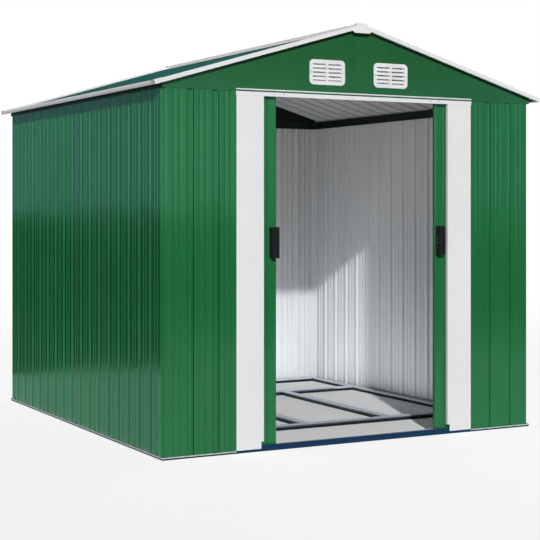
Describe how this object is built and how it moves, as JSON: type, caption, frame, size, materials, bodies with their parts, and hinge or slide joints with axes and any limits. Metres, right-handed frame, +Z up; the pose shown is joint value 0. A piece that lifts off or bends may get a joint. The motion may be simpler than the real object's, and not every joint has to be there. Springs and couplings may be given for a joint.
{
  "type": "metal storage shed",
  "caption": "Small apex-roofed garden shed of green ribbed sheet metal with white trims, louvred gable vents, an open floor frame and sliding double doors.",
  "frame": {"origin": "middle of the footprint at ground level, under the middle of the roof", "axes": "+X to the right along the front, +Y from the front with the doors to the back, +Z up"},
  "size_m": [1.9962, 2.076, 1.8541],
  "materials": {
    "green_paint": "gloss green paint on ribbed steel sheet",
    "white_paint": "satin white paint on steel sheet",
    "white_plastic": "moulded white plastic",
    "black_plastic": "moulded black plastic",
    "navy_paint": "satin dark blue paint",
    "galvanised_steel": "galvanised steel sheet"
  },
  "bodies": {
    "shed": {"back_gable": "green_paint", "back_wall": "green_paint", "base_rail_back": "galvanised_steel", "base_rail_front": "galvanised_steel", "base_rail_left": "galvanised_steel", "base_rail_right": "galvanised_steel", "corner_caps": "white_plastic", "door_header": "white_paint", "door_track": "galvanised_steel", "eave_trim_left": "white_paint", "eave_trim_right": "white_paint", "floor_cross_back": "galvanised_steel", "floor_cross_front": "galvanised_steel", "floor_runners": "galvanised_steel", "front_gable": "green_paint", "front_wall_left": "green_paint", "front_wall_right": "green_paint", "gable_trim_back_left": "white_paint", "gable_trim_back_right": "white_paint", "gable_trim_front_left": "white_paint", "gable_trim_front_right": "white_paint", "header_lip": "white_paint", "jamb_left": "white_paint", "jamb_right": "white_paint", "left_wall": "green_paint", "ridge_cap": "white_paint", "ridge_end_back": "white_plastic", "ridge_end_front": "white_plastic", "right_wall": "green_paint", "roof_left": "green_paint", "roof_right": "green_paint", "threshold": "navy_paint", "vent_left": "white_plastic", "vent_right": "white_plastic", "wall_rail_back": "green_paint", "wall_rail_left": "green_paint", "wall_rail_right": "green_paint"},
    "left_door": {"door_left": "green_paint", "door_rails_left": "galvanised_steel", "door_sliders_left": "black_plastic", "handle_left": "black_plastic"},
    "right_door": {"door_rails_right": "galvanised_steel", "door_right": "green_paint", "door_sliders_right": "black_plastic", "handle_right": "black_plastic"}
  },
  "joints": [
    {"name": "left_door_slide", "type": "slide", "parent": "shed", "child": "left_door", "axis": [1, 0, 0], "range_m": [0, 0.4015]},
    {"name": "right_door_slide", "type": "slide", "parent": "shed", "child": "right_door", "axis": [-1, 0, 0], "range_m": [0, 0.4215]}
  ]
}
